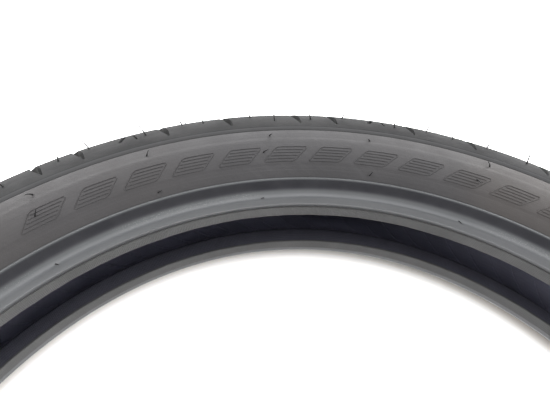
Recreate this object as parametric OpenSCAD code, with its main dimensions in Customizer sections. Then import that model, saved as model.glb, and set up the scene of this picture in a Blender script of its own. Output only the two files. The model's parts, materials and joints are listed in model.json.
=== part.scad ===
// Motorcycle tire lying flat, unmounted. The spin axis is Z and the mid-plane is z = 0.
// A section point is [distance from the axis, height above the mid-plane], in millimetres.

/* [Overall] */
// Outer diameter over the crown of the tread
outer_d = 637; // [632:1:642]
// Diameter of the bead seat, a little under the rim's so that it grips
bead_bore_d = 455; // [453:0.5:456]
// Gap between the two bead toes of the unmounted tire
toe_gap = 33; // [31:0.5:35]

/* [Tread] */
// Radius of the crown across the tread
crown_r = 42; // [40:0.5:44]
// Half of the angle that the crown arc spans
crown_half_angle = 44; // [42:1:46]
// Radius of the flatter arc from the crown to the tread edge
shoulder_r = 88; // [86:1:90]
// Angle from the mid-plane to the surface normal at the tread edge
edge_angle = 70.5; // [70:0.5:71]
// Thickness of the tread cap at the crown
cap_t = 6.5; // [6:0.1:6.8]
// Depth of the main grooves at their middle
groove_depth = 4.6; // [4:0.1:4.8]
// Width of the main grooves
groove_w = 4.5; // [4:0.5:6]
// Number of times that the tread pattern repeats around the tire
pattern_count = 11; // [10:1:12]

/* [Sidewall] */
// Radius of the sidewall's outer arc
sidewall_r = 51.6; // [51:0.1:52]
// Distance from the axis to the widest point of the sidewall
widest_at = 271; // [270:0.5:272]
// Half of the width over the two sidewalls
sidewall_half_w = 49.8; // [49.6:0.1:50]
// Thickness of the sidewall rubber outside the plies, at the widest point
sidewall_t = 4.8; // [4.7:0.1:4.9]
// Height of the rim line above the sidewall
rim_line_h = 0.8; // [0.4:0.1:1]

/* [Plies] */
// Thickness of one body ply
ply_t = 0.95; // [0.9:0.01:1]
// Thickness of one breaker ply
breaker_t = 1; // [0.9:0.05:1.1]
// Thickness of the inner liner
liner_t = 1; // [0.8:0.05:1.1]

/* [Bead] */
// Distance from the axis to the middle of the bead bundle
bead_at = 236; // [235.8:0.1:236.2]
// Height of the middle of the bead bundle above the mid-plane
bead_z = 26.8; // [26.6:0.1:27]
// Radius of the round rubber insulation that holds the wires
bundle_r = 3.9; // [3.9:0.05:4]
// Thickness of the fabric wrap round the bundle
wrap_t = 0.5; // [0.4:0.05:0.5]
// Diameter of the bead wire
wire_d = 1.5; // [1.3:0.05:1.6]
// Distance between neighbouring turns of the wire
wire_pitch = 1.85; // [1.75:0.01:1.9]
// Height above the mid-plane at which the bead seat meets the heel
heel_z = 25.4; // [25.2:0.1:25.6]

/* [Hidden] */
$fn = 96;

outer_r = outer_d / 2;
seat_r = bead_bore_d / 2;
toe_z = toe_gap / 2;
toe_chamfer = 0.4;

// Angles at which the layers end, all on the one grid of section angles
grid = 6;
breaker_outer_end = 48;
breaker_inner_end = 54;
cushion_end = 66;
base_end = 72;
filler_tip = 120;
base_t_crown = 2;
base_t_edge = 1.5;
filler_tip_t = 0.6;

// Lengths along the outside of the filler, from the bead bundle
turn_up_outer = 19;
turn_up_inner = 13;
strip_top = 9;
wrap_end = 6;

// Outer arcs of the tread and the sidewall
crown_c = [outer_r - crown_r, 0];
shoulder_c = crown_c + (crown_r - shoulder_r) * dir(crown_half_angle);
sidewall_c = [widest_at, sidewall_half_w - sidewall_r];
sidewall_top = 90.5;
sidewall_foot = 126.6;

// Line that the body plies follow: crown arc, flatter shoulder arc, then one arc down the side
crown_total_t = cap_t + base_t_crown + 2 * breaker_t;
line_crown_r = crown_r - crown_total_t;
line_crown_end = 36;
line_shoulder_r = 80;
line_shoulder_c = crown_c + (line_crown_r - line_shoulder_r) * dir(line_crown_end);
line_side_r = 22;
line_half_w = sidewall_half_w - sidewall_t;
line_shoulder_end = asin((line_half_w - line_side_r - line_shoulder_c[1]) / (line_shoulder_r - line_side_r));
line_side_c = line_shoulder_c + (line_shoulder_r - line_side_r) * dir(line_shoulder_end);

// Bead bundle with its wrap, and the two straight sides of the filler above it
bead_c = [bead_at, bead_z];
wrap_r = bundle_r + wrap_t;
plies_t = 2 * ply_t;
to_bead = bead_c - line_side_c;
line_end = bearing(to_bead) - acos((line_side_r + wrap_r) / norm(to_bead));
tip = along(filler_tip, filler_tip_t);
from_tip = bead_c - tip;
filler_dir = bearing(from_tip) - asin(wrap_r / norm(from_tip));
side_out = filler_dir - 90;
inner_side = line_end + 180;
turn_steps = 14;
heel_step = 10;
base_steps = 8;

// Tread pattern: angles around the tire, as shares of one repeat
pattern_start = 28;
pattern_angle = 360 / pattern_count;
main_places = [0, 0.32, 0.57, 0.85];
short_place = 0.17;
sipe_place = 0.215;
sipe_w = 1.2;
short_w = 2.6;
slot_proud = 3;

// Slots of the tread: [section angle, turn from straight across, length, depth]
flank_slot = [50, 6, 36, groove_depth];
crown_slot = [21, 46, 31, groove_depth + 0.2];
short_slot = [57, -20, 13, 2.8];
sipe_slot = [55, 6, 22, 3.2];
// Angle around the tire from a groove's part on the flank to its part on the crown
crown_lead = 2.6;

// Rim line, as section angles of the sidewall arc, and the hollow for the rim flange below it
rib_foot = 127.2;
rib_start = 127.7;
rib_end = 128.8;
rib_r = sidewall_r + rim_line_h;
hollow_top = [seat_r + 8.6, heel_z + 10.3];
hollow_foot = [seat_r + 6.8, heel_z + 9.2];
// Rounded heel, its lip, and the small groove where it meets the chafer
heel_r = 3.2;
heel_c = [seat_r + 4.6, heel_z + 4.9];
heel_start = 108;
heel_lip = [seat_r + 0.4, heel_z + 3.4];
heel_groove = 1;
heel_groove_h = 1.2;

function dir(a) = [cos(a), sin(a)];
function bearing(v) = (atan2(v[1], v[0]) + 360) % 360;
function flip(pts) = [for (p = pts) [p[0], -p[1]]];
function back(pts) = [for (i = [len(pts) - 1 : -1 : 0]) pts[i]];
function rest(pts) = [for (i = [1 : len(pts) - 1]) pts[i]];
function middle(pts) = [for (i = [1 : len(pts) - 2]) pts[i]];
function arc(c, r, a, b, steps) = [for (i = [0 : steps]) c + r * dir(a + (b - a) * i / steps)];

// A point of the ply line at section angle a, moved out by t
function along(a, t) =
    a <= line_crown_end ? crown_c + (line_crown_r + t) * dir(a)
    : a <= line_shoulder_end ? line_shoulder_c + (line_shoulder_r + t) * dir(a)
    : line_side_c + (line_side_r + t) * dir(a);
// The ply line from angle a to b at a constant distance t
function layer(a, b, t) = [for (x = [a : grid : b]) along(x, t)];
// The whole ply line from the crown to the end of the side arc
function down_to_bead(t) = concat(layer(0, line_end, t), [along(line_end, t)]);
// The ply line round the bead bundle, at radius r, between two of its steps
function round_bead(r, from, to) =
    [for (i = [from : to])
        bead_c + r * dir(inner_side + (side_out - inner_side) * i / turn_steps)];
// A point on the outside of the filler, h from the bundle and t out
function beside(h, t) = bead_c + (wrap_r + t) * dir(side_out) + h * dir(filler_dir + 180);
// A point on the cavity side of the filler, h from the bundle and t into the filler
function behind(h, t) = bead_c + (wrap_r - t) * dir(inner_side) + h * dir(line_end - 90);

// Thickness of the tread base over the ply line, thinning towards the edge
function base_top(a) =
    let (thick = base_t_crown + 2 * breaker_t)
    a <= line_crown_end ? thick
    : thick + (base_t_edge - thick) * (a - line_crown_end) / (base_end - line_crown_end);
// Height of the cushion's top, thinning from the breaker edge to its own end
function cushion_top(a) = 2 * breaker_t * (cushion_end - a) / (cushion_end - breaker_outer_end);

// The outer surface of the tread from the crown to its edge
tread_face = concat(
    arc(crown_c, crown_r, 0, crown_half_angle, 8),
    rest(arc(shoulder_c, shoulder_r, crown_half_angle, edge_angle, 5)));
sidewall_start = sidewall_c + sidewall_r * dir(sidewall_top);
sidewall_end = sidewall_c + sidewall_r * dir(sidewall_foot);
base_line = [for (a = [0 : grid : base_end]) along(a, base_top(a))];
cushion_line = [for (a = [breaker_outer_end : grid : cushion_end]) along(a, cushion_top(a))];
bundle_top = arc(bead_c, bundle_r, inner_side - 360, side_out, base_steps);
liner_face_r = wrap_r + plies_t + liner_t;
toe_tangent = let (v = bead_c - [seat_r, toe_z]) bearing(v) - asin(liner_face_r / norm(v)) - 90;

// A ring that spans both halves: its outer and its inner face, each from the crown down
module full_ring(outside, inside) {
    rotate_extrude()
        polygon(concat(back(flip(rest(outside))), outside, back(inside), flip(rest(inside))));
}

// A ring in one half, turned over for the lower one
module half_ring(outline, upper) {
    mirror([0, 0, upper ? 0 : 1])
        rotate_extrude()
            polygon(outline);
}

// A straight slot, cut square to the tread
module slot(shape, width) {
    a = shape[0];
    turn = shape[1];
    length = shape[2];
    depth = shape[3];
    foot = a <= crown_half_angle ? crown_c + crown_r * dir(a) : shoulder_c + shoulder_r * dir(a);
    translate([foot[0], 0, foot[1]])
        rotate([0, -a, 0])
            rotate([turn, 0, 0])
                translate([-depth, -width / 2, -length / 2])
                    cube([depth + slot_proud, width, length]);
}

// A main groove: a slanting slot on the crown that runs on in a steeper one down the shoulder
module main_groove() {
    slot(flank_slot, groove_w);
    rotate([0, 0, crown_lead])
        slot(crown_slot, groove_w);
}

// The grooves of one repeat on the upper half
module pattern() {
    for (share = main_places)
        rotate([0, 0, -share * pattern_angle])
            main_groove();
    rotate([0, 0, -short_place * pattern_angle])
        slot(short_slot, short_w);
    rotate([0, 0, -sipe_place * pattern_angle])
        slot(sipe_slot, sipe_w);
}

module pattern_half(turn) {
    for (i = [0 : pattern_count - 1])
        rotate([0, 0, turn + i * pattern_angle])
            pattern();
}

module tread_cap() {
    color([0.27, 0.27, 0.27])
        difference() {
            full_ring(concat(tread_face, [sidewall_start]), base_line);
            pattern_half(pattern_start);
            mirror([0, 0, 1])
                pattern_half(pattern_start + pattern_angle / 2);
        }
}

module tread_base() {
    color([0.2, 0.2, 0.2])
        full_ring(base_line,
            concat(layer(0, breaker_outer_end, 2 * breaker_t), rest(cushion_line), [along(base_end, 0)]));
}

module breaker_ply_outer() {
    color([0.55, 0.47, 0.34])
        full_ring(layer(0, breaker_outer_end, 2 * breaker_t), layer(0, breaker_outer_end, breaker_t));
}

module breaker_ply_inner() {
    color([0.62, 0.54, 0.4])
        full_ring(layer(0, breaker_inner_end, breaker_t), layer(0, breaker_inner_end, 0));
}

// One body ply: t0 and t1 are its faces inside the ply line, and it is turned up to height h
module body_ply(t0, t1, h) {
    full_ring(
        concat(down_to_bead(-t0), round_bead(wrap_r + t0, 0, turn_steps), [beside(h, t0)]),
        concat(down_to_bead(-t1), round_bead(wrap_r + t1, 0, turn_steps), [beside(h, t1)]));
}

module carcass_ply_outer() {
    color([0.72, 0.62, 0.46])
        body_ply(0, ply_t, turn_up_outer);
}

module carcass_ply_inner() {
    color([0.66, 0.57, 0.43])
        body_ply(ply_t, plies_t, turn_up_inner);
}

module inner_liner() {
    color([0.16, 0.16, 0.17])
        full_ring(
            concat(down_to_bead(-plies_t), round_bead(wrap_r + plies_t, 0, 0)),
            concat(down_to_bead(-plies_t - liner_t), round_bead(liner_face_r, 0, 0)));
}

module shoulder_cushion(upper) {
    color([0.24, 0.22, 0.22])
        half_ring(concat(cushion_line,
            back(layer(breaker_inner_end, cushion_end - grid, 0)),
            back(layer(breaker_outer_end, breaker_inner_end, breaker_t))), upper);
}

module sidewall(upper) {
    color([0.4, 0.39, 0.38])
        half_ring(concat(
            arc(sidewall_c, sidewall_r, sidewall_top, sidewall_foot, 8),
            [beside(strip_top, plies_t), beside(turn_up_inner, plies_t),
             beside(turn_up_inner, ply_t), beside(turn_up_outer, ply_t),
             beside(turn_up_outer, 0), tip],
            back(layer(base_end, filler_tip, 0)),
            [along(base_end, base_t_edge)]), upper);
}

// The rim line, the hollow where the rim flange sits, and the heel
module rim_strip(upper) {
    color([0.33, 0.34, 0.35])
        half_ring(concat(
            [sidewall_end, sidewall_c + sidewall_r * dir(rib_foot),
             sidewall_c + rib_r * dir(rib_start), sidewall_c + rib_r * dir(rib_end),
             hollow_top, hollow_foot],
            arc(heel_c, heel_r, heel_start, 180, 6),
            [heel_lip, [seat_r + heel_groove, heel_z + heel_groove_h], [seat_r + heel_groove, heel_z]],
            round_bead(wrap_r + plies_t, heel_step, turn_steps),
            [beside(strip_top, plies_t)]), upper);
}

// The strip on the bead seat and round the toe, up to the inner liner
module chafer(upper) {
    color([0.3, 0.31, 0.32])
        half_ring(concat(
            [[seat_r + heel_groove, heel_z], [seat_r, heel_z], [seat_r, toe_z + toe_chamfer],
             [seat_r + toe_chamfer, toe_z]],
            arc(bead_c, liner_face_r, toe_tangent, inner_side - 360, 5),
            round_bead(wrap_r + plies_t, 0, heel_step)), upper);
}

module bead_filler(upper) {
    color([0.12, 0.12, 0.12])
        half_ring(concat(
            layer(filler_tip, line_end, 0),
            [along(line_end, 0), behind(wrap_end, 0), behind(wrap_end, wrap_t)],
            bundle_top,
            [beside(wrap_end, -wrap_t), beside(wrap_end, 0), tip]), upper);
}

// Fabric round the bundle and up both sides of the filler's foot
module bead_wrap(upper) {
    color([0.45, 0.42, 0.36])
        half_ring(concat(
            [behind(wrap_end, 0)], round_bead(wrap_r, 0, turn_steps), [beside(wrap_end, 0)],
            [beside(wrap_end, -wrap_t)], back(round_bead(bundle_r, 0, turn_steps)),
            [behind(wrap_end, wrap_t)]), upper);
}

// Centres of the turns of bead wire, in staggered rows of three, four and three
wire_turns = [for (row = [-1 : 1])
    let (turns = 4 - abs(row))
    for (i = [0 : turns - 1])
        bead_c + wire_pitch * [row * sin(60), i - (turns - 1) / 2]];

module bead_insulation(upper) {
    color([0.1, 0.1, 0.11])
        mirror([0, 0, upper ? 0 : 1])
            rotate_extrude()
                difference() {
                    polygon(concat(round_bead(bundle_r, 0, turn_steps), back(middle(bundle_top))));
                    for (c = wire_turns)
                        translate(c)
                            circle(d = wire_d, $fn = 24);
                }
}

module bead_wires(upper) {
    color([0.7, 0.58, 0.36])
        mirror([0, 0, upper ? 0 : 1])
            rotate_extrude()
                for (c = wire_turns)
                    translate(c)
                        circle(d = wire_d, $fn = 24);
}

tread_cap();
tread_base();
breaker_ply_outer();
breaker_ply_inner();
carcass_ply_outer();
carcass_ply_inner();
inner_liner();
shoulder_cushion(true);  // shoulder_cushion_upper
shoulder_cushion(false);  // shoulder_cushion_lower
sidewall(true);  // sidewall_upper
sidewall(false);  // sidewall_lower
rim_strip(true);  // rim_strip_upper
rim_strip(false);  // rim_strip_lower
chafer(true);  // chafer_upper
chafer(false);  // chafer_lower
bead_filler(true);  // bead_filler_upper
bead_filler(false);  // bead_filler_lower
bead_wrap(true);  // bead_wrap_upper
bead_wrap(false);  // bead_wrap_lower
bead_insulation(true);  // bead_insulation_upper
bead_insulation(false);  // bead_insulation_lower
bead_wires(true);  // bead_wires_upper
bead_wires(false);  // bead_wires_lower
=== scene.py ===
import json
import math
import random

import bmesh
import bpy
import numpy as np
from mathutils import Matrix, Vector


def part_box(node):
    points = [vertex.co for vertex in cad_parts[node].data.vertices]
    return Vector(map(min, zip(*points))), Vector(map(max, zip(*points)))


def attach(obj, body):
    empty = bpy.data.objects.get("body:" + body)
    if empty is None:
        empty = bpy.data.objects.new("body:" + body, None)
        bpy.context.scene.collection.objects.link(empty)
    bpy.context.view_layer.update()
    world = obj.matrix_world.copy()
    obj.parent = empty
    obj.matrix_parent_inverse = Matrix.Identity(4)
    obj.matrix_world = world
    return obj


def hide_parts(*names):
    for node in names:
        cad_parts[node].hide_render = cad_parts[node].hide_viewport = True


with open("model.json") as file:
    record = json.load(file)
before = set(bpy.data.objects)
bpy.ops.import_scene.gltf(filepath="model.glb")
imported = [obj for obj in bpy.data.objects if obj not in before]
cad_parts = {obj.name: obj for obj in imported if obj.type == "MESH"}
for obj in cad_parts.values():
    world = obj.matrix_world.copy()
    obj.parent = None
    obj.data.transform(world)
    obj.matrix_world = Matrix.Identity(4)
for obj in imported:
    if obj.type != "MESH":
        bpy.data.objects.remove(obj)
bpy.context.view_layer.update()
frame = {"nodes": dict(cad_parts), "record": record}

# ---------------------------------------------------------------- sizes from the frame, in metres
MM = 0.001
mounts = {m["name"]: m for m in frame["record"]["mounts"]}
seat_r = mounts["bead_seat_upper"]["dims"]["r_mm"] * MM
outer_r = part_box("tread_cap")[1].x
top_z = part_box("tread_cap")[1].z
floor_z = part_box("tread_cap")[0].z
toe_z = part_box("chafer_upper")[0].z
heel_z = mounts["bead_seat_upper"]["pos_m"][2] + mounts["bead_seat_upper"]["dims"]["length_mm"] * MM / 2
side_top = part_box("sidewall_upper")[1].z


def polar(a):
    return np.array([math.cos(math.radians(a)), math.sin(math.radians(a))])


# Outer arcs of the section, as in the frame: crown, shoulder, sidewall, heel
crown_r, crown_end = 42 * MM, 44
shoulder_r, edge_a = 88 * MM, 70.5
side_r, side_start, side_end = 51.6 * MM, 90.5, 126.6
crown_c = np.array([outer_r - crown_r, 0])
shoulder_c = crown_c + (crown_r - shoulder_r) * polar(crown_end)
widest_in = 47.5 * MM
side_c = np.array([outer_r - widest_in, side_top - side_r])
heel_r = 3.2 * MM
heel_c = np.array([seat_r + 4.6 * MM, heel_z + 4.9 * MM])
rib_h = 0.8 * MM
seat_groove = 1 * MM

# Line of the body plies, and the bead bundle they turn round
ply_t, liner_t, wrap_r = 0.95 * MM, 1 * MM, 4.4 * MM
line_crown_r, line_crown_end = 31.5 * MM, 36
line_shoulder_r, line_side_r = 80 * MM, 22 * MM
line_shoulder_c = crown_c + (line_crown_r - line_shoulder_r) * polar(line_crown_end)
line_half_w = side_top - 4.8 * MM
line_shoulder_end = math.degrees(math.asin(
    (line_half_w - line_side_r - line_shoulder_c[1]) / (line_shoulder_r - line_side_r)))
line_side_c = line_shoulder_c + (line_shoulder_r - line_side_r) * polar(line_shoulder_end)
bead_c = np.array([seat_r + 8.5 * MM, heel_z + 1.4 * MM])
plies_t = 2 * ply_t
face_r = wrap_r + plies_t + liner_t


def bearing(v):
    return math.degrees(math.atan2(v[1], v[0])) % 360


def along(a, t):
    """A point of the ply line at section angle a, moved out by t."""
    if a <= line_crown_end:
        return crown_c + (line_crown_r + t) * polar(a)
    if a <= line_shoulder_end:
        return line_shoulder_c + (line_shoulder_r + t) * polar(a)
    return line_side_c + (line_side_r + t) * polar(a)


def arc(c, r, a, b, step):
    """Points round c from angle a to b, at most step degrees apart."""
    n = max(1, math.ceil(abs(b - a) / step))
    return [c + r * polar(a + (b - a) * i / n) for i in range(n + 1)]


to_bead = bead_c - line_side_c
line_end = bearing(to_bead) - math.degrees(math.acos((line_side_r + wrap_r) / np.linalg.norm(to_bead)))
tip_angle = 120
tip = along(tip_angle, 0.6 * MM)
from_tip = bead_c - tip
filler_dir = bearing(from_tip) - math.degrees(math.asin(wrap_r / np.linalg.norm(from_tip)))
side_out = filler_dir - 90
inner_side = line_end + 180
from_toe = bead_c - np.array([seat_r, toe_z])
toe_tangent = bearing(from_toe) - math.degrees(math.asin(face_r / np.linalg.norm(from_toe))) - 90


def beside(h, t):
    """A point on the filler's outer side: h from the bead bundle towards the tip, and t out from the wrap."""
    return bead_c + (wrap_r + t) * polar(side_out) + h * polar(filler_dir + 180)


base_edge, base_edge_t, base_full_t = 72, 1.5 * MM, 4 * MM


def base_top(a):
    """How far the tread base's top lies out from the ply line at section angle a."""
    if a <= line_crown_end:
        return base_full_t
    return base_full_t + (base_edge_t - base_full_t) * (a - line_crown_end) / (base_edge - line_crown_end)


# the turn round the bead bundle, in equal parts; the chafer gives way to the rim strip after the tenth
bead_parts, strip_part = 14, 10


def round_bead(r, first, last):
    turn = side_out - inner_side
    return [bead_c + r * polar(inner_side + turn * i / bead_parts) for i in range(first, last + 1)]


def eased(x, low, high):
    """0 up to low and 1 from high on, with a smooth step between."""
    t = min(max((x - low) / (high - low), 0), 1)
    return t * t * (3 - 2 * t)


# ---------------------------------------------------------------- ring pieces
# divisions round the tire; the tread and the liner have fewer, to keep their meshes lighter
# ring pieces divisions round the tire; the tread and the liner have fewer, to stay under
# 200,000 triangles
AROUND, TREAD_AROUND, LINER_AROUND = 480, 380, 440


def filleted(outline, radius, corner=24):
    """The outline with each sharp corner replaced by a short curve."""
    out, n = [], len(outline)
    for i, p in enumerate(outline):
        before, after = outline[i - 1] - p, outline[(i + 1) % n] - p
        lb, la = np.linalg.norm(before), np.linalg.norm(after)
        bend = 180 - math.degrees(math.acos(np.clip(before @ after / (lb * la), -1, 1)))
        if bend < corner:
            out.append(p)
            continue
        cut = min(radius, lb * 0.45, la * 0.45)
        a, b = p + before / lb * cut, p + after / la * cut
        for t in (0, 0.25, 0.5, 0.75, 1):
            out.append((1 - t) ** 2 * a + 2 * t * (1 - t) * p + t * t * b)
    return out


def mesh_object(name, verts, faces):
    mesh = bpy.data.meshes.new(name)
    mesh.from_pydata([tuple(v) for v in verts], [], faces)
    mesh.update()
    obj = bpy.data.objects.new(name, mesh)
    bpy.context.scene.collection.objects.link(obj)
    return obj


def smooth(obj, angle=30):
    obj.data.shade_smooth()
    obj.data.set_sharp_from_angle(angle=math.radians(angle))
    return obj


def fix_normals(obj):
    bm = bmesh.new()
    bm.from_mesh(obj.data)
    bmesh.ops.recalc_face_normals(bm, faces=bm.faces)
    bm.to_mesh(obj.data)
    bm.free()
    return obj


def ring(name, outline, upper=True, steps=AROUND, wave=None):
    """A closed ring from a section outline of (distance, height) points; wave moves a point by azimuth."""
    pts = np.array(outline)
    if not upper:
        pts = pts * (1, -1)
    turn = np.roll(pts, -1, 0)
    if (pts[:, 0] * turn[:, 1] - turn[:, 0] * pts[:, 1]).sum() < 0:
        pts = pts[::-1]
    theta = np.linspace(0, 2 * math.pi, steps, endpoint=False)
    r = np.repeat(pts[None, :, 0], steps, 0)
    z = np.repeat(pts[None, :, 1], steps, 0)
    if wave:
        r, z = wave(theta[:, None], r, z)
    verts = np.stack([r * np.cos(theta)[:, None], r * np.sin(theta)[:, None], z], -1).reshape(-1, 3)
    n = len(pts)
    i, j = np.meshgrid(np.arange(steps), np.arange(n), indexing="ij")
    i2, j2 = (i + 1) % steps, (j + 1) % n
    faces = np.stack([i * n + j, i2 * n + j, i2 * n + j2, i * n + j2], -1).reshape(-1, 4)
    return smooth(mesh_object(name, verts, faces.tolist()))


def flip(points):
    """The same points on the other half of the section."""
    return [p * (1, -1) for p in points]


def swung(p, n, azimuth, side):
    """A section point and normal swung to an azimuth; side is 1 for the upper half and -1 for the lower."""
    t = math.radians(azimuth)
    out = np.array([math.cos(t), math.sin(t)])
    return np.array([*(p[0] * out), side * p[1]]), np.array([*(n[0] * out), side * n[1]])


# ---------------------------------------------------------------- tread with its grooves
round_over = 0.9  # degrees
tread_face = arc(crown_c, crown_r, 0, crown_end, 2) \
    + arc(shoulder_c, shoulder_r, crown_end, edge_a - round_over, 1.1)[1:]
side_first = side_c + side_r * polar(side_start)
edge_corner = shoulder_c + shoulder_r * polar(edge_a)
edge_foot = edge_corner + 0.45 * (side_first - edge_corner)
edge_curve = [(1 - t) ** 2 * tread_face[-1] + 2 * t * (1 - t) * edge_corner + t * t * edge_foot
              for t in (0.15, 0.3, 0.45, 0.6, 0.8, 1)]
parting_h = 0.25 * MM
tread_half = filleted(
    [tread_face[0] + (parting_h, 0)] + tread_face[1:] + edge_curve + [side_first]
    + [along(a, base_top(a)) for a in range(base_edge, 0, -6)], 0.45 * MM)
tread_outline = tread_half + [along(0, base_top(0))] + flip(tread_half[:0:-1])
tread = ring("tread_rubber_band", tread_outline, steps=TREAD_AROUND)


def tread_frame(a, azimuth):
    """The tread face at section angle a (below zero for the lower half): its point and outward normal."""
    c, r = (crown_c, crown_r) if abs(a) <= crown_end else (shoulder_c, shoulder_r)
    return swung(c + r * polar(abs(a)), polar(abs(a)), azimuth, 1 if a >= 0 else -1)


def through(points, count):
    """A smooth curve through a few (section angle, azimuth) points."""
    pts = [np.array(p, float) for p in points]
    pts = [2 * pts[0] - pts[1]] + pts + [2 * pts[-1] - pts[-2]]
    out = []
    spans = len(pts) - 3
    for k in range(count + 1):
        s = min(k / count * spans, spans - 1e-9)
        i, t = int(s), s - int(s)
        p0, p1, p2, p3 = pts[i:i + 4]
        out.append(0.5 * (2 * p1 + (p2 - p0) * t + (2 * p0 - 5 * p1 + 4 * p2 - p3) * t * t
                          + (3 * p1 - p0 - 3 * p2 + p3) * t ** 3))
    return out


def groove(verts, faces, points, width, depth, turn, side, slim):
    """Adds a cutter that follows the tread: a band with drafted walls, rounded ends and a rounded floor.

    The band narrows to slim times its width at the end near the tread's edge.
    """
    path = through(points, 30)
    place = [tread_frame(side * a, turn + side * f) for a, f in path]
    pos = np.array([p for p, n in place])
    length = np.concatenate([[0], np.cumsum(np.linalg.norm(np.diff(pos, axis=0), axis=1))])
    half, total = width / 2, length[-1]
    ends = half * np.array([0.02, 0.12, 0.35, 0.7, 1])
    stations = np.concatenate([ends, np.linspace(half * 1.4, total - half * 1.4, 22), total - ends[::-1]])
    first = len(verts)
    for s in stations:
        a, f = (np.interp(s, length, [q[k] for q in path]) for k in (0, 1))
        p, n = tread_frame(side * a, turn + side * f)
        a2, f2 = (np.interp(s + 0.2 * MM, length, [q[k] for q in path]) for k in (0, 1))
        a0, f0 = (np.interp(s - 0.2 * MM, length, [q[k] for q in path]) for k in (0, 1))
        ahead = tread_frame(side * a2, turn + side * f2)[0] - tread_frame(side * a0, turn + side * f0)[0]
        across = np.cross(n, ahead)
        across /= np.linalg.norm(across)
        near = min(s, total - s)
        rounded = math.sqrt(max(1 - (1 - min(near / half, 1)) ** 2, 0.0004))
        w = half * rounded * (slim + (1 - slim) * eased(s, 0, 14 * MM))
        d = depth * (0.55 + 0.45 * eased(near, 0, 2.2 * half))
        top, foot = w * 1.12 + 0.05 * MM * (w / half), w * 0.86
        for x, h in ((top, 3 * MM), (foot, -d * 0.8), (foot * 0.66, -d),
                     (-foot * 0.66, -d), (-foot, -d * 0.8), (-top, 3 * MM)):
            verts.append(p + across * x + n * h)
    for k in range(len(stations) - 1):
        for j in range(6):
            a, b = first + 6 * k + j, first + 6 * k + (j + 1) % 6
            faces.append((a, b, b + 6, a + 6))
    faces.append(tuple(first + j for j in range(5, -1, -1)))
    faces.append(tuple(first + 6 * (len(stations) - 1) + j for j in range(6)))


repeats = 11
repeat_angle = 360 / repeats
pattern_start = 28
main_shares = (0, 0.32, 0.57, 0.85)
# Each kind of groove: places as shares of a repeat, (section angle, azimuth) points, width, depth, narrow end
groove_kinds = {
    "main": (main_shares, ((67, -0.65), (50, 0), (36, 0.6), (22, 2.5), (7, 4.7)), 4.5 * MM, 4.6 * MM, 0.32),
    "short": ((0.17,), ((61.3, 0.45), (57, 0), (52.6, -0.45)), 2.4 * MM, 2.8 * MM, 1.0),
    "sipe": ((0.214,), ((62.3, -0.25), (55, 0), (46, 0.3)), 1.2 * MM, 3.2 * MM, 1.0),
}


def cutters(name, shares, points, width, depth, slim):
    """The cutters of one kind of groove, on both halves of the tread, as one mesh."""
    verts, faces = [], []
    for side in (1, -1):
        start = pattern_start + (0 if side > 0 else repeat_angle / 2)
        for i in range(repeats):
            for share in shares:
                turn = start + (i - side * share) * repeat_angle
                groove(verts, faces, points, width, depth, turn, side, slim)
    return fix_normals(mesh_object(name, verts, faces))


def cut(obj, cutter):
    """Cuts the cutter's shape out of the object, and removes the cutter."""
    modifier = obj.modifiers.new("cut", "BOOLEAN")
    modifier.operation, modifier.solver, modifier.object = "DIFFERENCE", "EXACT", cutter
    result = bpy.data.meshes.new_from_object(obj.evaluated_get(bpy.context.evaluated_depsgraph_get()))
    obj.modifiers.clear()
    old, obj.data = obj.data, result
    result.name = obj.name
    bpy.data.meshes.remove(old)
    bpy.data.objects.remove(cutter)


def drop_slivers(obj):
    """Removes the edges of next to no length that cutting leaves."""
    bm = bmesh.new()
    bm.from_mesh(obj.data)
    bmesh.ops.dissolve_degenerate(bm, dist=0.001 * MM, edges=bm.edges)
    bm.to_mesh(obj.data)
    bm.free()


for kind, shape in groove_kinds.items():
    cut(tread, cutters(kind + "_cutters", *shape))
drop_slivers(tread)


def tread_normals(obj):
    """True normals on the tread face, so that cutting the grooves leaves no shading marks."""
    mesh = obj.data
    mesh.shade_smooth()
    mesh.set_sharp_from_angle(angle=math.radians(30))
    count = len(mesh.loops)
    co = np.zeros(len(mesh.vertices) * 3)
    mesh.vertices.foreach_get("co", co)
    co = co.reshape(-1, 3)
    index = np.zeros(count, int)
    mesh.loops.foreach_get("vertex_index", index)
    face_of = np.zeros(count, int)
    starts, totals = np.zeros(len(mesh.polygons), int), np.zeros(len(mesh.polygons), int)
    mesh.polygons.foreach_get("loop_start", starts)
    mesh.polygons.foreach_get("loop_total", totals)
    for f, (s, t) in enumerate(zip(starts, totals)):
        face_of[s:s + t] = f
    face_n = np.zeros(len(mesh.polygons) * 3)
    mesh.polygons.foreach_get("normal", face_n)
    face_n = face_n.reshape(-1, 3)[face_of]
    now = np.array([tuple(c.vector) for c in mesh.corner_normals])
    p = co[index]
    r, z = np.hypot(p[:, 0], p[:, 1]), p[:, 2]
    height = np.abs(z)
    on_crown = np.degrees(np.arctan2(height, r - crown_c[0])) <= crown_end
    c0 = np.where(on_crown, crown_c[0], shoulder_c[0])
    c1 = np.where(on_crown, crown_c[1], shoulder_c[1])
    radius = np.where(on_crown, crown_r, shoulder_r)
    dr, dz = r - c0, height - c1
    d = np.hypot(dr, dz)
    exact = np.stack([dr / d * p[:, 0] / r, dr / d * p[:, 1] / r, dz / d * np.sign(z)], 1)
    mine = (np.abs(d - radius) < 0.03 * MM) & ((exact * face_n).sum(1) > 0.97) & (height > 0.9 * MM)
    now[mine] = exact[mine]
    mesh.normals_split_custom_set(now.tolist())


tread_normals(tread)

# ---------------------------------------------------------------- sidewalls, rim strips, chafers, liner
strip_top, turn_up_inner, turn_up_outer = 9 * MM, 13 * MM, 19 * MM
band_low, band_high = 99.0, 117.4
band_h = 0.16 * MM


def side_profile(a):
    """How far the sidewall stands out at section angle a: a low raised band with soft edges."""
    return band_h * (eased(a, band_low - 2.2, band_low + 0.3) - eased(a, band_high - 1.5, band_high + 1.3))


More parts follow.
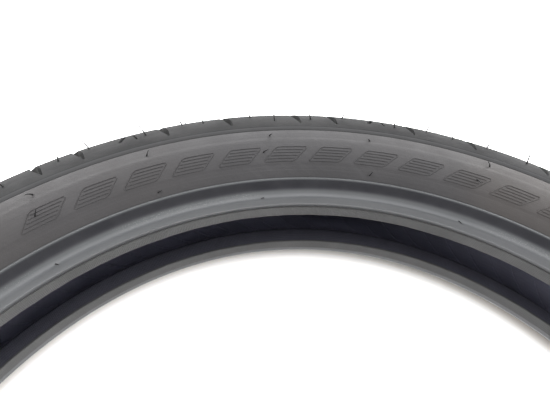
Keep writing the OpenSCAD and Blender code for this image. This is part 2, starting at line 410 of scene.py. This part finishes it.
side_angles = np.linspace(side_start, side_end, 78)
side_face = [side_c + (side_r + side_profile(a)) * polar(a) for a in side_angles]
sidewall_outline = filleted(side_face + [
    beside(strip_top, plies_t), beside(turn_up_inner, plies_t), beside(turn_up_inner, ply_t),
    beside(turn_up_outer, ply_t), beside(turn_up_outer, 0), tip]
    + [along(a, 0) for a in range(tip_angle, base_edge - 1, -3)] + [along(base_edge, base_edge_t)], 0.2 * MM)

rib_r = side_r + rib_h
# from the rim line down to the heel, as distances from the bead seat and the heel's foot
hollow = [np.array([seat_r, heel_z]) + p * MM for p in through(
    ((10.45, 13.2), (9.5, 11.7), (8.65, 10.45), (7.7, 9.65), (6.5, 9.0), (5.1, 8.46), (3.95, 8.065)), 18)]
rim_outline = filleted(
    [side_face[-1], side_c + side_r * polar(127.2)]
    + arc(side_c, rib_r, 127.65, 128.7, 0.4) + hollow + arc(heel_c, heel_r, 110, 152, 2.5)
    + [np.array([seat_r + 0.4 * MM, heel_z + 3.4 * MM]), np.array([seat_r + seat_groove, heel_z + 1.2 * MM]),
       np.array([seat_r + seat_groove, heel_z])]
    + round_bead(wrap_r + plies_t, strip_part, bead_parts) + [beside(strip_top, plies_t)], 0.3 * MM)

chamfer = 0.4 * MM
seat_line = [np.array([seat_r, heel_z + (toe_z + chamfer - heel_z) * t]) for t in np.linspace(0.02, 1, 12)]
chafer_outline = filleted(
    [np.array([seat_r + seat_groove, heel_z])] + seat_line + [np.array([seat_r + chamfer, toe_z])]
    + arc(bead_c, face_r, toe_tangent, inner_side - 360, 4)
    + round_bead(wrap_r + plies_t, 0, strip_part), 0.35 * MM)


def inner_line(t):
    """The inside of the plies at depth t, from the crown to the bead."""
    angles = list(range(0, int(line_end), 3)) + [line_end]
    return [along(a, -t) for a in angles]


liner_out, liner_in = inner_line(plies_t), inner_line(plies_t + liner_t)
liner_foot = round_bead(wrap_r + plies_t, 0, 0) + round_bead(face_r, 0, 0)
liner_outline = flip(liner_out[:0:-1]) + liner_out + liner_foot + liner_in[::-1] + flip(liner_in[1:]) \
    + flip(liner_foot[::-1])


def toe_wave(theta, r, z):
    """The toe's edge is a little uneven, as moulded rubber is."""
    uneven = 0.10 * np.sin(17 * theta + 1) + 0.08 * np.sin(41 * theta) + 0.07 * np.sin(97 * theta + 2)
    near = np.clip(1 - (np.abs(z) - toe_z) / (2.5 * MM), 0, 1) * np.clip(1 - (r - seat_r) / (2 * MM), 0, 1)
    return r, z + np.sign(z) * near * uneven * 1.6 * MM


def heel_wave(theta, r, z):
    """The rounded heel and its groove waver very slightly round the tire."""
    near = np.clip(1 - (r - seat_r) / (6 * MM), 0, 1)
    return r + near * 0.07 * MM * np.sin(9 * theta + 0.6) * (r > seat_r + 0.1 * MM), z


shown = {"tread_rubber_band": tread}
for upper, part in ((True, "upper"), (False, "lower")):
    for name, outline, wave in (("sidewall_rubber", sidewall_outline, None),
                                ("rim_strip_rubber", rim_outline, heel_wave),
                                ("chafer_strip", chafer_outline, toe_wave)):
        shown[f"{name}_{part}"] = ring(f"{name}_{part}", outline, upper, wave=wave)
shown["liner_skin"] = ring("liner_skin", liner_outline, steps=LINER_AROUND)

# ---------------------------------------------------------------- strips of rubber that lie on a surface


def lay_strip(verts, faces, path, half_w, height, sink, closed=False):
    """Adds a low ridge along path: (point, outward normal) pairs, with bevelled sides."""
    pts = np.array([p for p, n in path])
    count = len(pts)
    first = len(verts)
    for k in range(count):
        back = pts[k - 1] if closed or k else pts[k]
        ahead = pts[(k + 1) % count] if closed or k < count - 1 else pts[k]
        n = path[k][1]
        across = np.cross(n, ahead - back)
        across /= np.linalg.norm(across)
        for x, h in ((1, -sink), (0.62, height), (-0.62, height), (-1, -sink)):
            verts.append(pts[k] + across * half_w * x + n * h)
    for k in range(count if closed else count - 1):
        a0, b0 = first + 4 * k, first + 4 * ((k + 1) % count)
        for j in range(4):
            j2 = (j + 1) % 4
            faces.append((a0 + j, a0 + j2, b0 + j2, b0 + j))
    if not closed:
        faces.append(tuple(first + j for j in (3, 2, 1, 0)))
        faces.append(tuple(first + 4 * (count - 1) + j for j in (0, 1, 2, 3)))


def side_frame(a, azimuth, upper):
    """The sidewall face at section angle a: its point and outward normal."""
    return swung(side_c + (side_r + side_profile(a)) * polar(a), polar(a), azimuth, 1 if upper else -1)


# Plain raised hatching: identical slanted blocks, evenly spaced, with nothing to read in them
mark_stroke, mark_h, mark_sink = 0.24 * MM, 0.26 * MM, 0.15 * MM
mark_top, mark_foot = 104.8, 115.4
mark_slant = 2.0


def mark_point(x, y, upper):
    """x is an azimuth and y runs 0 to 1 from the mark's foot to its top."""
    slanted = x + mark_slant * (y - 0.5) * (-1 if upper else 1)
    return side_frame(mark_foot + (mark_top - mark_foot) * y, slanted, upper)


def mark_line(verts, faces, corners, upper, closed=False):
    path = []
    pairs = list(zip(corners, corners[1:] + corners[:1])) if closed else list(zip(corners, corners[1:]))
    for (x0, y0), (x1, y1) in pairs:
        n = max(2, int(abs(x1 - x0) / 0.18), int(abs(y1 - y0) / 0.12))
        path += [mark_point(x0 + (x1 - x0) * i / n, y0 + (y1 - y0) * i / n, upper) for i in range(n)]
    if not closed:
        path.append(mark_point(*corners[-1], upper))
    lay_strip(verts, faces, path, mark_stroke, mark_h, mark_sink, closed)


def block_mark(verts, faces, left, width, upper):
    """A slanted block, outlined and hatched from end to end."""
    right, c = left + width, 0.25
    outline = [(left + c, 0), (right - c, 0), (right, 0.1), (right, 0.9), (right - c, 1), (left + c, 1),
               (left, 0.9), (left, 0.1)]
    mark_line(verts, faces, outline, upper, True)
    for y in (0.2, 0.4, 0.6, 0.8):
        mark_line(verts, faces, [(left + 0.3, y), (right - 0.3, y)], upper)


mark_width, mark_gap, mark_count = 4.4, 2.0, 14
mark_start = 134.5
mark_groups = 3


def raised_marks(name, upper):
    verts, faces = [], []
    for group in range(mark_groups):
        start = mark_start + group * 360 / mark_groups
        for i in range(mark_count):
            at = start - i * (mark_width + mark_gap) if upper else start + i * (mark_width + mark_gap)
            block_mark(verts, faces, at - mark_width if upper else at, mark_width, upper)
    return smooth(fix_normals(mesh_object(name, verts, faces)), 25)


for name, upper in (("raised_marks_upper", True), ("raised_marks_lower", False)):
    shown[name] = raised_marks(name, upper)

# ---------------------------------------------------------------- vent hairs left by the mould
dice = random.Random(100)


def hair(verts, faces, place, lean, length, thick, falls):
    """A thin curved hair at a (point, normal) place; its tip falls towards lean, and falls is how far."""
    p, n = place
    lean = lean - n * (lean @ n)
    lean /= np.linalg.norm(lean)
    side = np.cross(n, lean)
    first, rings, sides = len(verts), 7, 7
    fall = dice.uniform(*falls)
    for k in range(rings):
        t = k / (rings - 1)
        angle = 0.25 + fall * t * 1.2
        if k == 0:
            c = p - n * 0.3 * MM
        else:
            c = c + (n * math.cos(angle) + lean * math.sin(angle)) * (length / (rings - 1))
        along_dir = n * math.cos(angle) + lean * math.sin(angle)
        u = np.cross(side, along_dir)
        radius = thick / 2 * (1.25 - 0.25 * min(k, 1) - 0.45 * t)
        for j in range(sides):
            w = 2 * math.pi * j / sides
            verts.append(c + (side * math.cos(w) + u * math.sin(w)) * radius)
    for k in range(rings - 1):
        for j in range(sides):
            a, b = first + sides * k + j, first + sides * k + (j + 1) % sides
            faces.append((a, b, b + sides, a + sides))
    faces.append(tuple(first + j for j in range(sides))[::-1])
    faces.append(tuple(first + sides * (rings - 1) + j for j in range(sides)))


def low_lean(place):
    """A direction to fall in, mostly round the tire."""
    p, n = place
    round_dir = np.array([-p[1], p[0], 0]) / math.hypot(p[0], p[1])
    tilt = np.array([dice.uniform(-1, 1), dice.uniform(-1, 1), dice.uniform(-1, 1)])
    return round_dir * dice.choice((-1, 1)) + tilt * 0.8


def heel_frame(a, azimuth):
    """The upper heel at section angle a: its point and outward normal."""
    return swung(heel_c + heel_r * polar(a), polar(a), azimuth, 1)


hair_stations = 24
hair_step = 360 / hair_stations
hair_first = 103.4


def hairs(name, places, low, high, thick=0.85 * MM, falls=(0.35, 1.0)):
    """A group of hairs as one mesh; low and high are the range of their lengths in millimetres."""
    verts, faces = [], []
    for place in places:
        lean = low_lean(place)
        length = dice.uniform(low, high)
        # the underside is left without hairs
        if place[0][2] >= -0.6 * top_z:
            hair(verts, faces, place, lean, length * MM, thick, falls)
    return smooth(fix_normals(mesh_object(name, verts, faces)), 50)


side_places, heel_places = [], []
for i in range(hair_stations):
    az = hair_first + i * hair_step
    spots = (109,) if i % 2 == 0 else (96, 123)
    side_places += [side_frame(a + dice.uniform(-1, 1), az + dice.uniform(-0.3, 0.3), True) for a in spots]
    if i % 2 == 0:
        side_places.append(side_frame(95, az - 1.2, True))
        heel_places.append(heel_frame(115 + dice.uniform(-8, 8), az + 0.6))
tread_places = []
for i in range(repeats):
    for share, a in ((0.07, 58), (0.27, 61), (0.38, 57), (0.49, 60), (0.66, 56), (0.77, 62), (0.93, 59),
                     (0.14, 12), (0.62, 16), (0.45, 30)):
        for side in (1, -1):
            az = pattern_start + (0 if side > 0 else repeat_angle / 2) + (i - side * share) * repeat_angle
            tread_places.append(tread_frame(side * (a + dice.uniform(-3, 3)), az + dice.uniform(-0.8, 0.8)))
shown["vent_hairs_sidewall"] = hairs("vent_hairs_sidewall", side_places, 2.8, 5.2)
shown["vent_hairs_bead"] = hairs("vent_hairs_bead", heel_places, 2.6, 4.2)
shown["vent_hairs_tread"] = hairs("vent_hairs_tread", tread_places, 5.0, 8.2, 1.0 * MM, (-0.15, 0.25))

# ---------------------------------------------------------------- ridges left inside by the curing bladder
verts, faces = [], []
ridge_count, ridge_end, ridge_twist = 96, 138, 9
for k in range(ridge_count):
    path = []
    for s in np.linspace(-1, 1, 41):
        a, side = abs(s) * ridge_end, 1 if s >= 0 else -1
        p, n = swung(along(a, -plies_t - liner_t), polar(a), k * 360 / ridge_count + ridge_twist * s, side)
        path.append((p, -n))
    lay_strip(verts, faces, path, 0.5 * MM, 0.35 * MM, 0.15 * MM)
shown["liner_ridges"] = smooth(fix_normals(mesh_object("liner_ridges", verts, faces)), 40)


# ---------------------------------------------------------------- materials
# distance from the axis to the point that section angles are taken about
section_r = 262 * MM
# a warm tone comes in patches round the tire, midway between places like this azimuth
warm_patches, plain_azimuth = 3.0, 103


class Finish:
    """A procedural material, built node by node."""

    def __init__(self, name, **constants):
        self.material = bpy.data.materials.new(name)
        self.material.use_nodes = True
        self.tree = self.material.node_tree
        self.shader = self.tree.nodes["Principled BSDF"]
        for socket, value in constants.items():
            self.shader.inputs[socket.replace("_", " ")].default_value = value
        where = self.tree.nodes.new("ShaderNodeTexCoord").outputs["Object"]
        split = self.tree.nodes.new("ShaderNodeSeparateXYZ")
        self.tree.links.new(where, split.inputs[0])
        self.where = where
        self.x, self.y, self.z = split.outputs
        self.r = self.math("SQRT", self.math("ADD", self.math("MULTIPLY", self.x, self.x),
                                             self.math("MULTIPLY", self.y, self.y)))
        self.azimuth = self.math("ARCTAN2", self.y, self.x)
        self.height = self.math("ABSOLUTE", self.z)
        self.section = self.math("ARCTAN2", self.height, self.math("SUBTRACT", self.r, section_r))

    def put(self, value, socket):
        """Links the socket to a node's output, or sets it to a plain value."""
        if isinstance(value, bpy.types.NodeSocket):
            self.tree.links.new(value, socket)
        else:
            socket.default_value = value

    def math(self, operation, a, b=0.0, c=0.0):
        node = self.tree.nodes.new("ShaderNodeMath")
        node.operation = operation
        for value, socket in zip((a, b, c), node.inputs):
            self.put(value, socket)
        return node.outputs[0]

    def vector(self, x, y, z):
        node = self.tree.nodes.new("ShaderNodeCombineXYZ")
        for value, socket in zip((x, y, z), node.inputs):
            self.put(value, socket)
        return node.outputs[0]

    def noise(self, scale, detail=3.0, rough=0.5, where=None):
        node = self.tree.nodes.new("ShaderNodeTexNoise")
        self.put(self.where if where is None else where, node.inputs["Vector"])
        node.inputs["Scale"].default_value = scale
        node.inputs["Detail"].default_value = detail
        node.inputs["Roughness"].default_value = rough
        return node.outputs["Fac"]

    def around(self, scale, detail=3.0):
        """Noise drawn out round the tire, fine across it."""
        place = self.vector(self.math("MULTIPLY_ADD", self.r, scale, self.math("MULTIPLY", self.x, 5.0)),
                            self.math("MULTIPLY_ADD", self.z, scale, self.math("MULTIPLY", self.y, 5.0)), 0.0)
        return self.noise(1.0, detail, 0.6, place)

    def rays(self, count, swirl=0.0):
        """A wave across the tire's radius: count of them round the tire, turned with the section angle."""
        turned = self.math("MULTIPLY", self.section, swirl)
        turn = self.math("MULTIPLY_ADD", self.azimuth, float(count), turned)
        return self.math("MULTIPLY_ADD", self.math("SINE", turn), 0.5, 0.5)

    def span(self, value, low, high, to_low=0.0, to_high=1.0):
        """A smooth step from to_low at low to to_high at high; low may be the larger of the two."""
        node = self.tree.nodes.new("ShaderNodeMapRange")
        node.interpolation_type = "SMOOTHSTEP"
        for v, name in ((value, "Value"), (low, "From Min"), (high, "From Max"), (to_low, "To Min"),
                        (to_high, "To Max")):
            self.put(v, node.inputs[name])
        return node.outputs["Result"]

    def blend(self, factor, a, b):
        """Colour a where the factor is 0, and b where it is 1."""
        node = self.tree.nodes.new("ShaderNodeMix")
        node.data_type = "RGBA"
        self.put(factor, node.inputs["Factor"])
        for value, name in ((a, "A"), (b, "B")):
            socket = [s for s in node.inputs if s.name == name and s.type == "RGBA"][0]
            self.put(value if isinstance(value, bpy.types.NodeSocket) else (*value, 1.0), socket)
        return [s for s in node.outputs if s.type == "RGBA"][0]

    def bump(self, height, depth, below=None):
        """Depth is the height of the relief in metres."""
        node = self.tree.nodes.new("ShaderNodeBump")
        node.inputs["Strength"].default_value = 1.0
        node.inputs["Distance"].default_value = depth
        self.put(height, node.inputs["Height"])
        if below is not None:
            self.put(below, node.inputs["Normal"])
        return node.outputs[0]

    def done(self, colour, rough, normal):
        self.put(colour, self.shader.inputs["Base Color"])
        self.put(rough, self.shader.inputs["Roughness"])
        self.put(normal, self.shader.inputs["Normal"])
        return self.material


def rubber(name, dark, light, rough, shine=0.3, warm=None, warmth=0.0, grain=0.00005, streak=0.35, dust=0.0,
           extra=None):
    """Moulded rubber: soft clouds and streaks round the tire, fine grain, and specks of dust."""
    m = Finish(name, Specular_IOR_Level=shine)
    clouds = m.noise(14.0, 4.0, 0.55)
    streaks = m.around(900.0)
    tone = m.math("MULTIPLY_ADD", streaks, streak, m.math("MULTIPLY", clouds, 1 - streak))
    colour = m.blend(m.span(tone, 0.3, 0.7), dark, light)
    if warm:
        turn = m.math("MULTIPLY_ADD", m.azimuth, warm_patches, -warm_patches * math.radians(plain_azimuth))
        far = m.math("MULTIPLY_ADD", m.math("COSINE", turn), -0.5, 0.5)
        patch = m.math("MULTIPLY", m.span(m.noise(9.0, 2.0), 0.3, 0.65), far)
        colour = m.blend(m.math("MULTIPLY", patch, warmth), colour, warm)
    gloss = m.span(m.noise(60.0, 4.0), 0.25, 0.75, rough - 0.06, rough + 0.07)
    if dust:
        specks = m.span(m.noise(1400.0, 2.0, 0.7), 0.66, 0.74)
        area = m.span(m.noise(30.0, 3.0), 0.45, 0.7)
        lint = m.math("MULTIPLY", m.math("MULTIPLY", specks, area), dust)
        colour = m.blend(lint, colour, (0.14, 0.14, 0.135))
        gloss = m.math("MULTIPLY_ADD", lint, 0.3, gloss)
    normal = m.bump(m.noise(1700.0, 3.0, 0.6), grain)
    normal = m.bump(m.noise(240.0, 3.0, 0.5), grain * 2.2, normal)
    if extra:
        colour, gloss, normal = extra(m, colour, gloss, normal)
    return m.done(colour, gloss, normal)


def mould_streaks(m, colour, gloss, normal):
    """Faint lines that the mould's turning left round the sidewall, and rays where it was wiped."""
    rays = m.rays(140, 30.0)
    wiped = m.math("MULTIPLY", m.span(m.noise(26.0, 3.0), 0.5, 0.72), m.span(rays, 0.55, 1.0))
    colour = m.blend(m.math("MULTIPLY", wiped, 0.05), colour, (0.08, 0.08, 0.08))
    return colour, gloss, m.bump(m.around(2600.0), 0.00006, normal)


def heel_scuffs_and_painted_light(m, colour, gloss, normal):
    """The heel with pale scuffs in patches, a painted highlight on its lower face and slope, and painted
    shade in the hollow beside it.
    """
    top = m.math("MULTIPLY", m.span(m.height, heel_z + 6.4 * MM, heel_z + 8.4 * MM),
                 m.span(m.r, seat_r + 8 * MM, seat_r + 5.5 * MM))
    patch = m.span(m.noise(11.0, 2.0), 0.48, 0.60)
    marks = m.math("MULTIPLY", m.span(m.noise(1500.0, 5.0, 0.75), 0.5, 0.72), m.math("MULTIPLY", top, patch))
    # painted highlight: the heel's lower face and the slope down to the lip are painted pale
    painted_highlight_slope = m.math("MULTIPLY", m.span(m.height, heel_z + 8.8 * MM, heel_z + 7.7 * MM),
                   m.span(m.r, seat_r + 5.8 * MM, seat_r + 4.4 * MM))
    colour = m.blend(m.math("MULTIPLY", painted_highlight_slope, 0.85), colour, (0.0605, 0.0625, 0.0665))
    colour = m.blend(m.math("MULTIPLY", marks, 0.55), colour, (0.16, 0.163, 0.16))
    gloss = m.math("MULTIPLY_ADD", marks, 0.25, gloss)
    # painted shade: the hollow under the rim line is painted darker than the heel, and it is duller
    painted_shade_hollow = m.math("MULTIPLY", m.span(m.r, seat_r + 5.6 * MM, seat_r + 8.2 * MM),
                         m.span(m.r, seat_r + 11.6 * MM, seat_r + 10.6 * MM))
    colour = m.blend(m.math("MULTIPLY", painted_shade_hollow, 0.95), colour, (0.0042, 0.0042, 0.0072))
    gloss = m.math("MULTIPLY_ADD", painted_shade_hollow, 0.48, gloss)
    return colour, gloss, m.bump(marks, 0.00003, normal)


def tread_edge(m, colour, gloss, normal):
    """The bevel at the tread's edge is paler than the tread."""
    bevel = m.math("MULTIPLY", m.span(m.r, edge_corner[0] + 0.4 * MM, edge_corner[0] - 0.3 * MM),
                   m.span(m.height, side_top - 1.5 * MM, side_top - 0.5 * MM))
    return m.blend(bevel, colour, (0.036, 0.036, 0.037)), gloss, normal


def cloth_seat(m, colour, gloss, normal):
    """The print of a woven cloth in the bead seat's rubber; towards the cavity it is painted a pale bluish
    grey like the liner's, as painted light.
    """
    painted_light_cavity = m.math("MULTIPLY", m.span(m.r, seat_r + 0.9 * MM, seat_r + 2 * MM),
                    m.span(m.height, toe_z + 8 * MM, toe_z + 5 * MM))
    threads = m.math("MULTIPLY", m.math("ADD", m.z, m.r), 5200.0)
    threads = m.math("MULTIPLY_ADD", m.math("SINE", threads), 0.5, 0.5)
    weave = m.math("MULTIPLY", m.rays(1500), threads)
    colour = m.blend(m.math("MULTIPLY", weave, 0.25), colour, (0.052, 0.052, 0.051))
    # painted light: the cavity side of the toe takes a pale bluish grey
    colour = m.blend(painted_light_cavity, colour, (0.034, 0.034, 0.045))
    return colour, m.math("MULTIPLY_ADD", weave, 0.1, gloss), m.bump(weave, 0.00022, normal)


def cords(name, cord, gum, count, swirl):
    """Parallel cords calendered into thin rubber."""
    m = Finish(name, Specular_IOR_Level=0.4)
    wave = m.rays(count, swirl)
    colour = m.blend(m.span(wave, 0.2, 0.7), gum, cord)
    colour = m.blend(m.math("MULTIPLY", m.noise(40.0, 4.0), 0.4), colour, gum)
    fuzz = m.noise(2600.0, 2.0)
    normal = m.bump(fuzz, 0.00005, m.bump(wave, 0.00035))
    return m.done(colour, m.span(fuzz, 0.3, 0.7, 0.54, 0.72), normal)


def wire_finish():
    m = Finish("bronzed_bead_wire", Metallic=1.0)
    drawn = m.around(9000.0, 2.0)
    colour = m.blend(drawn, (0.42, 0.27, 0.13), (0.62, 0.44, 0.24))
    colour = m.blend(m.span(m.noise(50.0, 3.0), 0.55, 0.8), colour, (0.2, 0.13, 0.07))
    return m.done(colour, m.span(drawn, 0.3, 0.7, 0.25, 0.42), m.bump(drawn, 0.00003))


tread_finish = rubber("tread_rubber", (0.011, 0.011, 0.0115), (0.020, 0.020, 0.0205), 0.75, shine=0.07,
                      dust=0.4, grain=0.00007, streak=0.2, extra=tread_edge)
side_finish = rubber("sidewall_rubber", (0.0155, 0.0148, 0.0160), (0.0238, 0.0227, 0.0242), 0.55, shine=0.31,
                     warm=(0.031, 0.025, 0.021), warmth=0.8, extra=mould_streaks, dust=0.15)
rim_finish = rubber("rim_strip_rubber", (0.022, 0.0235, 0.0255), (0.030, 0.0325, 0.035), 0.38, shine=0.5,
                    extra=heel_scuffs_and_painted_light, dust=0.15, grain=0.00003)
chafer_finish = rubber("chafer_cloth", (0.030, 0.030, 0.0305), (0.045, 0.0445, 0.0455), 0.6, extra=cloth_seat,
                       dust=0.2)
# Painted light in part: the liner's pale bluish grey is lifted above a real liner's darker tone, so that the
# cavity, which the lamps hardly reach, is not left black.
liner_finish_painted_light = rubber("liner_rubber", (0.086, 0.086, 0.116), (0.120, 0.120, 0.158), 0.55, grain=0.00009)
hair_finish = rubber("vent_hair_rubber", (0.003, 0.003, 0.0035), (0.007, 0.007, 0.0075), 0.5, shine=0.2,
                     grain=0.00002)
finishes = {
    "tread_rubber": tread_finish,
    "sidewall_rubber": side_finish,
    "rim_strip_rubber": rim_finish,
    "chafer_cloth": chafer_finish,
    "liner_rubber": liner_finish_painted_light,
    "base_rubber": rubber("base_rubber", (0.018, 0.018, 0.018), (0.032, 0.032, 0.032), 0.6),
    "cushion_rubber": rubber("cushion_rubber", (0.022, 0.020, 0.020), (0.038, 0.034, 0.033), 0.58),
    "filler_rubber": rubber("filler_rubber", (0.012, 0.012, 0.012), (0.024, 0.024, 0.024), 0.5),
    "insulation_rubber": rubber("insulation_rubber", (0.009, 0.009, 0.010), (0.018, 0.018, 0.019), 0.5),
    "breaker_fabric": cords("breaker_fabric", (0.32, 0.25, 0.15), (0.10, 0.08, 0.06), 1100, 260.0),
    "carcass_fabric": cords("carcass_fabric", (0.44, 0.34, 0.2), (0.14, 0.11, 0.08), 1300, -420.0),
    "wrap_fabric": cords("wrap_fabric", (0.22, 0.19, 0.14), (0.07, 0.06, 0.05), 1500, 900.0),
    "bead_wire": wire_finish(),
}

replaced = {
    "tread_rubber_band": (["tread_cap"], "tread_rubber"),
    "sidewall_rubber_upper": (["sidewall_upper"], "sidewall_rubber"),
    "sidewall_rubber_lower": (["sidewall_lower"], "sidewall_rubber"),
    "rim_strip_rubber_upper": (["rim_strip_upper"], "rim_strip_rubber"),
    "rim_strip_rubber_lower": (["rim_strip_lower"], "rim_strip_rubber"),
    "chafer_strip_upper": (["chafer_upper"], "chafer_cloth"),
    "chafer_strip_lower": (["chafer_lower"], "chafer_cloth"),
    "liner_skin": (["inner_liner"], "liner_rubber"),
    "liner_ridges": ([], "liner_rubber"),
    "raised_marks_upper": ([], "sidewall_rubber"),
    "raised_marks_lower": ([], "sidewall_rubber"),
    "vent_hairs_sidewall": ([], "sidewall_rubber"),
    "vent_hairs_bead": ([], "rim_strip_rubber"),
    "vent_hairs_tread": ([], "tread_rubber"),
}
for name, (nodes, slot) in replaced.items():
    piece = shown[name]
    piece.data.materials.clear()
    piece.data.materials.append(hair_finish if name.startswith("vent_hairs") else finishes[slot])
    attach(piece, "root")
    if nodes:
        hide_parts(*nodes)

slot_of = {s["node"]: s["material_slot"] for s in frame["record"]["subparts"]}
for name, node in frame["nodes"].items():
    node.data.materials.clear()
    node.data.materials.append(finishes[slot_of[name]])

# ---------------------------------------------------------------- floor, light and camera
floor_half = 4
ground = mesh_object("floor", [(x * floor_half, y * floor_half, floor_z)
                               for x, y in ((-1, -1), (1, -1), (1, 1), (-1, 1))], [(0, 1, 2, 3)])
paper = Finish("white_paper", Emission_Color=(1.0, 0.985, 0.965, 1.0))
# The paper glows a little, except under the tire, where a painted shadow makes it darker and brownish
glow, painted_shadow_dim = 0.6, -0.58
painted_shadow = paper.math("MULTIPLY", paper.span(paper.r, seat_r + 1 * MM, seat_r + 17 * MM),
                   paper.span(paper.r, outer_r + 12 * MM, outer_r - 30 * MM))
paper.put(paper.math("MULTIPLY_ADD", painted_shadow, painted_shadow_dim, glow), paper.shader.inputs["Emission Strength"])
white = paper.blend(paper.noise(3.0, 2.0), (0.90, 0.90, 0.895), (0.93, 0.93, 0.93))
ground.data.materials.append(paper.done(
    paper.blend(painted_shadow, white, (0.58, 0.535, 0.49)), 0.9,
    paper.bump(paper.noise(400.0, 2.0), 0.00002)))

world = bpy.data.worlds.new("soft_room")
bpy.context.scene.world = world
world.use_nodes = True
background = world.node_tree.nodes["Background"].inputs
background["Color"].default_value = (1.0, 1.0, 1.0, 1.0)
background["Strength"].default_value = 0.05


def softbox(name, place, target, width, height, power):
    light = bpy.data.lights.new(name, "AREA")
    light.shape, light.size, light.size_y, light.energy = "RECTANGLE", width, height, power
    obj = bpy.data.objects.new(name, light)
    obj.location = place
    obj.rotation_euler = (Vector(target) - Vector(place)).to_track_quat("-Z", "Y").to_euler()
    obj.visible_camera = False
    bpy.context.scene.collection.objects.link(obj)


lamp_out, lamp_high = 2.08, 1.56
softbox("back", (0, lamp_out, lamp_high), (0, 0, 0), 4.2, 1.5, 168)
softbox("left", (-lamp_out, 0.55, lamp_high), (0, 0.1, 0), 4.0, 1.5, 172)
softbox("right", (lamp_out, 0.55, lamp_high), (0, 0.1, 0), 4.0, 1.5, 170)
softbox("front", (0, -2.5, 0.75), (0, 0, 0), 3.6, 1.1, 36)
softbox("overhead", (0, -0.35, 2.4), (0, -0.35, 0), 1.1, 1.9, 30)

camera = bpy.data.cameras.new("camera")
camera.sensor_width = 36
camera.lens = 27.16
camera.clip_start = 0.01
eye = Vector((-48.25, 73.23, 236.3)) * MM
pitch, roll = math.radians(54.51), math.radians(6.03)
level_up = Vector((0, math.sin(pitch), math.cos(pitch)))
ahead = Vector((0, math.cos(pitch), -math.sin(pitch)))
right = Vector((math.cos(roll), 0, 0)) + level_up * math.sin(roll)
up = level_up * math.cos(roll) - Vector((math.sin(roll), 0, 0))
view = Matrix((right, up, -ahead)).transposed().to_4x4()
view.translation = eye
camera_object = bpy.data.objects.new("camera", camera)
camera_object.matrix_world = view
bpy.context.scene.collection.objects.link(camera_object)
bpy.context.scene.camera = camera_object
bpy.context.scene.view_settings.view_transform = "Standard"
